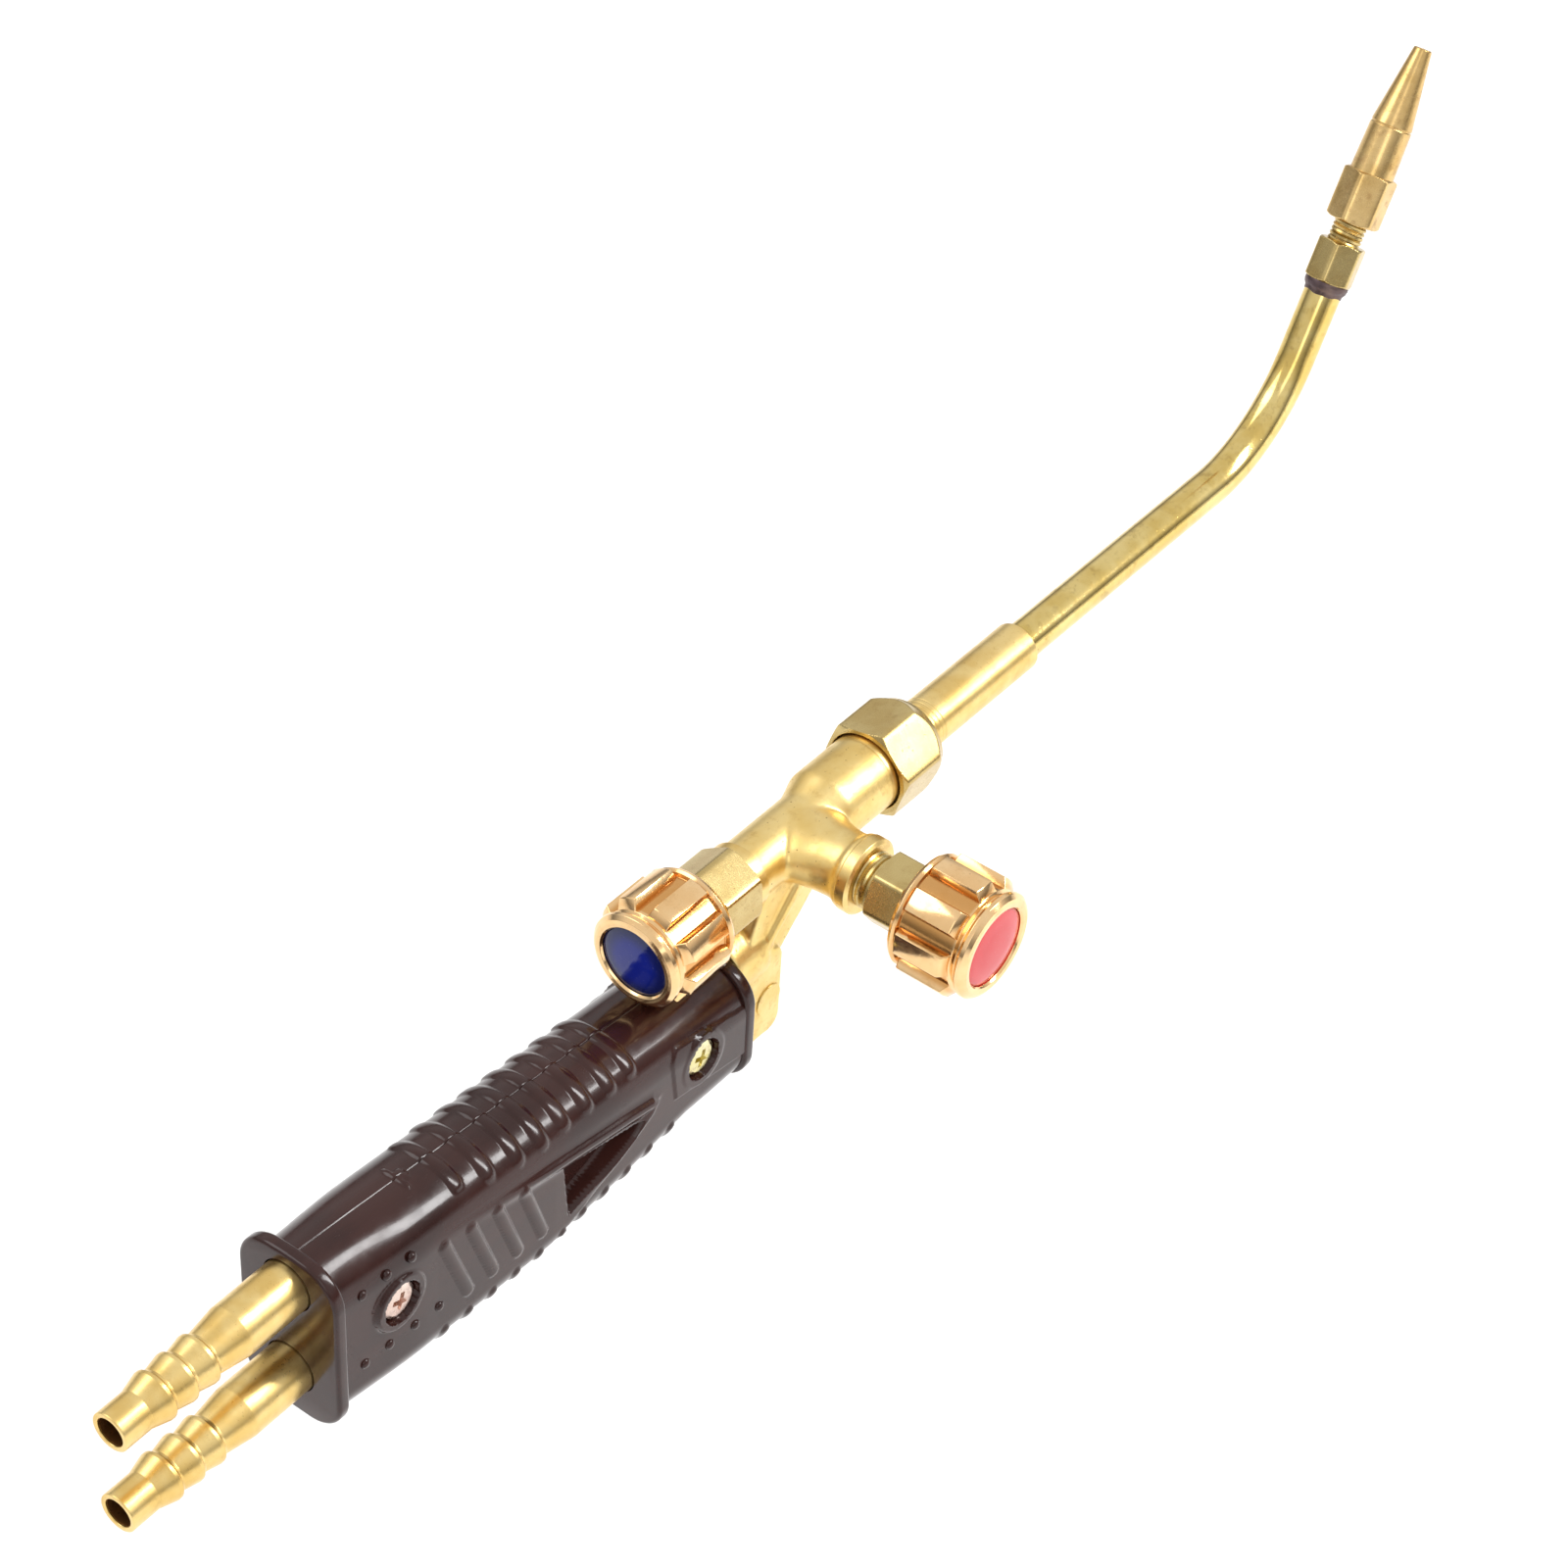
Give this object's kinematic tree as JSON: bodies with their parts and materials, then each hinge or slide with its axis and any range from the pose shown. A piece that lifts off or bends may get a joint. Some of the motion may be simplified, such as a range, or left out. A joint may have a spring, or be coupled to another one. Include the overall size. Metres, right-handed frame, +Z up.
{
  "type": "hand-held oxy-fuel torch",
  "caption": "Hand-held torch for gas and oxygen, with a ribbed handle, needle valves, a union nut and a bent neck with a tapered tip.",
  "frame": {"origin": "centre of the oxygen hose tail's open end", "axes": "+X from the hose tails towards the tip, +Z up, away from the belly of the handle; the fuel valve points to -Y"},
  "size_m": [0.4017, 0.0619, 0.1252],
  "materials": {
    "handle_moulding": "glossy dark brown moulding",
    "cast_brass": "satin bead-blasted casting",
    "turned_brass": "fine turned satin",
    "tube_brass": "drawn and polished",
    "machined_brass": "machined flats with fine scratches",
    "gilt_knob": "polished, gilt plated",
    "blue_enamel": "glossy enamel",
    "red_enamel": "glossy enamel",
    "yellow_zinc": "yellow passivated zinc",
    "bronzed_steel": "pinkish bronze plate",
    "bright_steel": "turned bright steel",
    "braze_metal": "heat-darkened braze",
    "seal_rubber": "matte black"
  },
  "bodies": {
    "torch_body": {"handle_shell_right": "handle_moulding", "handle_shell_left": "handle_moulding", "handle_screw_front": "yellow_zinc", "handle_screw_rear": "bronzed_steel", "handle_nuts": "bright_steel", "oxygen_hose_tail": "turned_brass", "fuel_hose_tail": "turned_brass", "oxygen_feed_pipe": "tube_brass", "fuel_feed_pipe": "tube_brass", "valve_body": "cast_brass", "cross_drill_plug": "cast_brass", "oxygen_bonnet": "machined_brass", "oxygen_spindle_seal": "seal_rubber", "fuel_bonnet": "machined_brass", "fuel_spindle_seal": "seal_rubber", "injector": "machined_brass"},
    "oxygen_valve_stem": {"oxygen_spindle": "bright_steel"},
    "oxygen_valve_knob": {"oxygen_knob": "gilt_knob", "oxygen_knob_screw": "bright_steel", "oxygen_badge": "blue_enamel"},
    "fuel_valve_stem": {"fuel_spindle": "bright_steel"},
    "fuel_valve_knob": {"fuel_knob": "gilt_knob", "fuel_knob_screw": "bright_steel", "fuel_badge": "red_enamel"},
    "clamping_nut": {"union_nut": "machined_brass"},
    "neck": {"mixing_sleeve": "turned_brass", "gooseneck_tube": "tube_brass", "braze_ring": "braze_metal", "tip_adapter": "machined_brass"},
    "tip": {"tip_nozzle": "turned_brass"}
  },
  "joints": [
    {"name": "oxygen_stem_travel", "type": "slide", "parent": "torch_body", "child": "oxygen_valve_stem", "axis": [-1, 0, 0], "range_m": [0, 0.002]},
    {"name": "oxygen_knob_turn", "type": "hinge", "parent": "oxygen_valve_stem", "child": "oxygen_valve_knob", "pos_m": [0.15, 0, 0.009], "axis": [-1, 0, 0], "range_deg": [0, 720]},
    {"name": "fuel_stem_travel", "type": "slide", "parent": "torch_body", "child": "fuel_valve_stem", "axis": [0, -1, 0], "range_m": [0, 0.002]},
    {"name": "fuel_knob_turn", "type": "hinge", "parent": "fuel_valve_stem", "child": "fuel_valve_knob", "pos_m": [0.1852, -0.04, 0.009], "axis": [0, -1, 0], "range_deg": [0, 720]},
    {"name": "union_nut_turn", "type": "hinge", "parent": "torch_body", "child": "clamping_nut", "pos_m": [0.216, 0, 0.009], "axis": [1, 0, 0], "range_deg": [0, 90]},
    {"name": "neck_swivel", "type": "hinge", "parent": "torch_body", "child": "neck", "pos_m": [0.24, 0, 0.009], "axis": [1, 0, 0], "continuous": true},
    {"name": "tip_turn", "type": "hinge", "parent": "neck", "child": "tip", "pos_m": [0.3802, 0, 0.05438], "axis": [0.5, 0, 0.866], "range_deg": [0, 90]}
  ],
  "couplings": [
    {"joint": "oxygen_stem_travel", "follows": "oxygen_knob_turn", "m_per_rad": 0.00015915},
    {"joint": "fuel_stem_travel", "follows": "fuel_knob_turn", "m_per_rad": 0.00015915}
  ]
}
